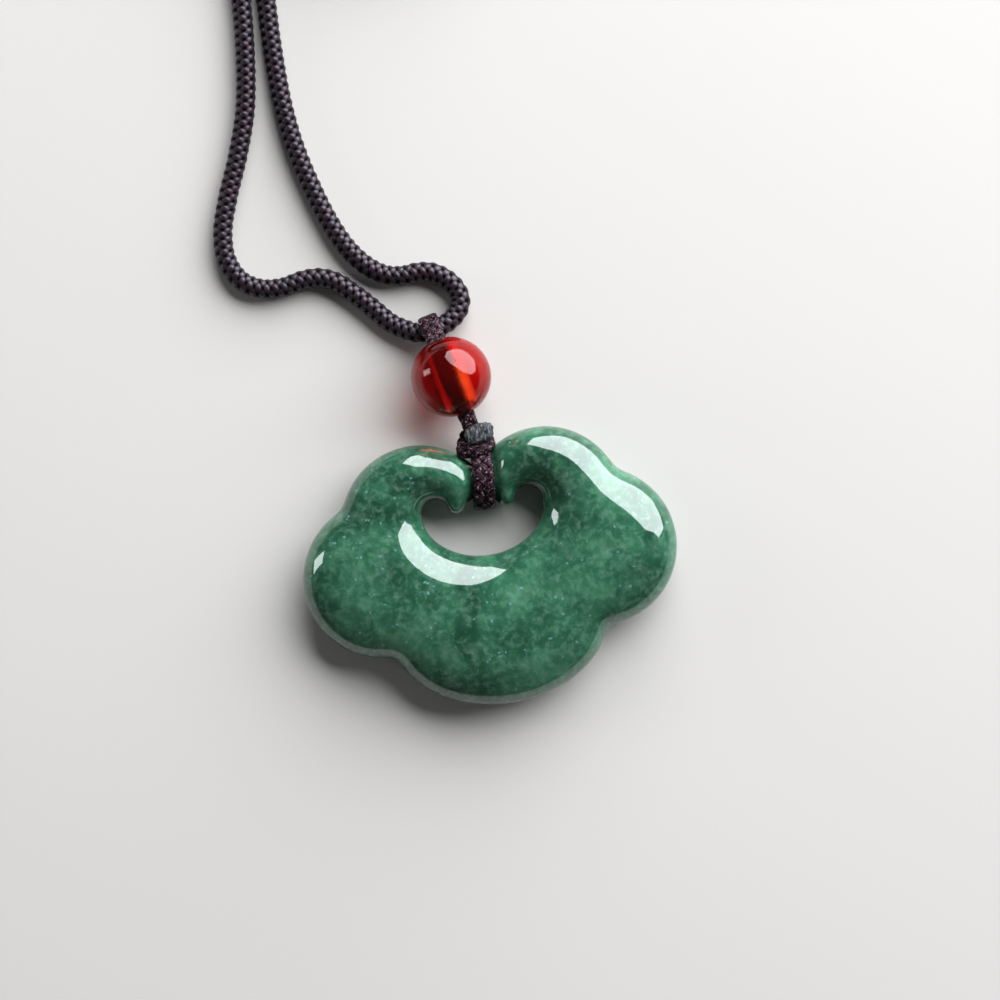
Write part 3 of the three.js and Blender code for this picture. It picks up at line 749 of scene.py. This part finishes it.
def jadeMaterial():
    material, tree, shader = newMaterial("polishedJade")
    where = put(tree, "TexCoord").outputs["Object"]
    bend = noiseOn(tree, where, 500, 3)
    bent = {"Fac": 0.0011, "Color1": where, "Color2": bend.outputs["Color"]}
    shifted = put(tree, "MixRGB", bent).outputs["Color"]
    cloud = noiseOn(tree, shifted, 190, 4, 0.55)
    patch = noiseOn(tree, shifted, 440, 5, 0.58)
    fibre = noiseOn(tree, shifted, 1900, 3, 0.6)
    cells = {"Vector": shifted, "Scale": 1100, "Smoothness": 1.0}
    grain = put(tree, "TexVoronoi", cells, feature="SMOOTH_F1")
    speck = put(tree, "TexVoronoi", {"Vector": shifted, "Scale": 2300}, feature="F1")
    stops = [(0.34, jade["deep"]), (0.52, jade["green"]), (0.72, jade["light"])]
    base = ramp(tree, cloud.outputs["Fac"], stops, "EASE")
    base = blendColour(tree, remap(tree, patch.outputs["Fac"], 0.44, 0.76, 0, 0.85), base, jade["light"])
    base = blendColour(tree, remap(tree, patch.outputs["Fac"], 0.5, 0.26, 0, 0.75), base, jade["deep"])
    crystal = put(tree, "SeparateColor", {"Color": grain.outputs["Color"]})
    base = blendColour(tree, remap(tree, crystal.outputs["Red"], 0.5, 0.95, 0, 0.16), base, jade["cotton"])
    base = blendColour(tree, remap(tree, crystal.outputs["Green"], 0.55, 0.95, 0, 0.25), base, jade["deep"])
    base = blendColour(tree, remap(tree, fibre.outputs["Fac"], 0.48, 0.82, 0, 0.5), base, jade["cotton"])
    base = blendColour(tree, remap(tree, fibre.outputs["Fac"], 0.48, 0.22, 0, 0.4), base, jade["deep"])
    pick = put(tree, "SeparateColor", {"Color": speck.outputs["Color"]}).outputs["Blue"]
    there = remap(tree, speck.outputs["Distance"], 0.3, 0.12)
    there = calc(tree, "MULTIPLY", there, remap(tree, pick, 0.84, 0.9))
    base = blendColour(tree, calc(tree, "MULTIPLY", there, 0.7), base, jade["blue"])
    height = put(tree, "SeparateXYZ", {"Vector": where}).outputs["Z"]
    rim = remap(tree, height, jade["rimHigh"], jade["rimLow"], 0, 0.35)  # painted light: the thin edge is made lighter, as if light came through it
    base = blendColour(tree, rim, base, jade["light"])
    tree.links.new(base, shader.inputs["Base Color"])
    shader.inputs["Roughness"].default_value = 0.045
    shader.inputs["IOR"].default_value = 1.62
    shader.inputs["Specular Tint"].default_value = (0.92, 0.99, 1, 1)
    shader.inputs["Coat Weight"].default_value = 0.4
    shader.inputs["Coat Roughness"].default_value = 0.02
    shader.inputs["Subsurface Weight"].default_value = 0.35
    shader.inputs["Subsurface Radius"].default_value = (0.35, 1.0, 0.5)
    shader.inputs["Subsurface Scale"].default_value = 0.0009
    ripple = noiseOn(tree, where, 900, 2)
    bump = put(tree, "Bump", {"Strength": 0.05, "Distance": 0.00005, "Height": ripple.outputs["Fac"]})
    tree.links.new(bump.outputs["Normal"], shader.inputs["Normal"])
    return material


def makePlaque():
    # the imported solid's own net, back in four-sided faces and rounded off
    bm = bmesh.new()
    bm.from_mesh(bpy.data.objects["jade_pendant"].data)
    bmesh.ops.remove_doubles(bm, verts=bm.verts, dist=1e-7)
    for limit in (60, 180):
        bmesh.ops.join_triangles(
            bm, faces=[f for f in bm.faces if len(f.verts) == 3],
            angle_face_threshold=math.radians(limit), angle_shape_threshold=math.radians(limit + 20),
        )
    bmesh.ops.recalc_face_normals(bm, faces=bm.faces)
    bm.normal_update()
    for v in bm.verts:
        v.co += v.normal * jade["sway"] * noise.noise(v.co * 330)
    thing = addObject("jade_plaque", bm, jadeMaterial())
    rounding = thing.modifiers.new("rounding", "SUBSURF")
    rounding.levels = rounding.render_levels = 2
    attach(thing, "root")
    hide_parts("jade_pendant")


makePlaque()
print("jade plaque")

# Floor and lights: one large eight-sided soft panel at the upper right, one small one at the left.

table = {"half": 2.0, "tone": (0.51, 0.496, 0.486), "ambient": 0.08}
panels = [
    # name, azimuth and height in the picture's own directions, roll, distance, half sizes, sides, brightness
    ("softPanel", 57, 30, 0, 0.42, (0.38, 0.235), 8, 9.0),
    ("windowPanel", 168, 16, 25, 0.42, (0.045, 0.085), 4, 7.0),
]


def setPanel(name, azimuth, rise, roll, distance, half, sides, brightness):
    material, _, shader = newMaterial(name)
    shader.inputs["Base Color"].default_value = (0, 0, 0, 1)
    shader.inputs["Specular IOR Level"].default_value = 0
    shader.inputs["Emission Color"].default_value = (0.97, 0.99, 1, 1)
    shader.inputs["Emission Strength"].default_value = brightness
    bm = bmesh.new()
    bmesh.ops.create_circle(bm, cap_ends=True, segments=sides, radius=1 / math.cos(math.pi / sides))
    bmesh.ops.rotate(bm, matrix=Matrix.Rotation(math.pi / sides, 3, "Z"), verts=bm.verts)
    bmesh.ops.scale(bm, vec=(*half, 1), verts=bm.verts)
    up, turn = math.radians(rise), math.radians(azimuth + shot["lean"])
    towards = Vector((math.cos(up) * math.cos(turn), math.cos(up) * math.sin(turn), math.sin(up)))
    facing = towards.to_track_quat("Z", "Y").to_matrix().to_4x4()
    rolled = facing @ Matrix.Rotation(math.radians(roll), 4, "Z")
    bmesh.ops.transform(bm, matrix=Matrix.Translation(towards * distance) @ rolled, verts=bm.verts)
    panel = addObject(name, bm, material)
    panel.visible_camera = False


def setStage():
    bm = bmesh.new()
    bmesh.ops.create_grid(bm, x_segments=1, y_segments=1, size=table["half"])
    material, _, shader = newMaterial("paleFloor")
    shader.inputs["Base Color"].default_value = (*table["tone"], 1)
    shader.inputs["Roughness"].default_value = 1
    shader.inputs["Specular IOR Level"].default_value = 0
    addObject("floor", bm, material)
    for panel in panels:
        setPanel(*panel)
    world = bpy.data.worlds.new("studio")
    bpy.context.scene.world = world
    world.use_nodes = True
    background = world.node_tree.nodes["Background"]
    background.inputs["Color"].default_value = (1, 0.99, 0.98, 1)
    background.inputs["Strength"].default_value = table["ambient"]
    bpy.context.scene.view_settings.view_transform = "Standard"


setStage()
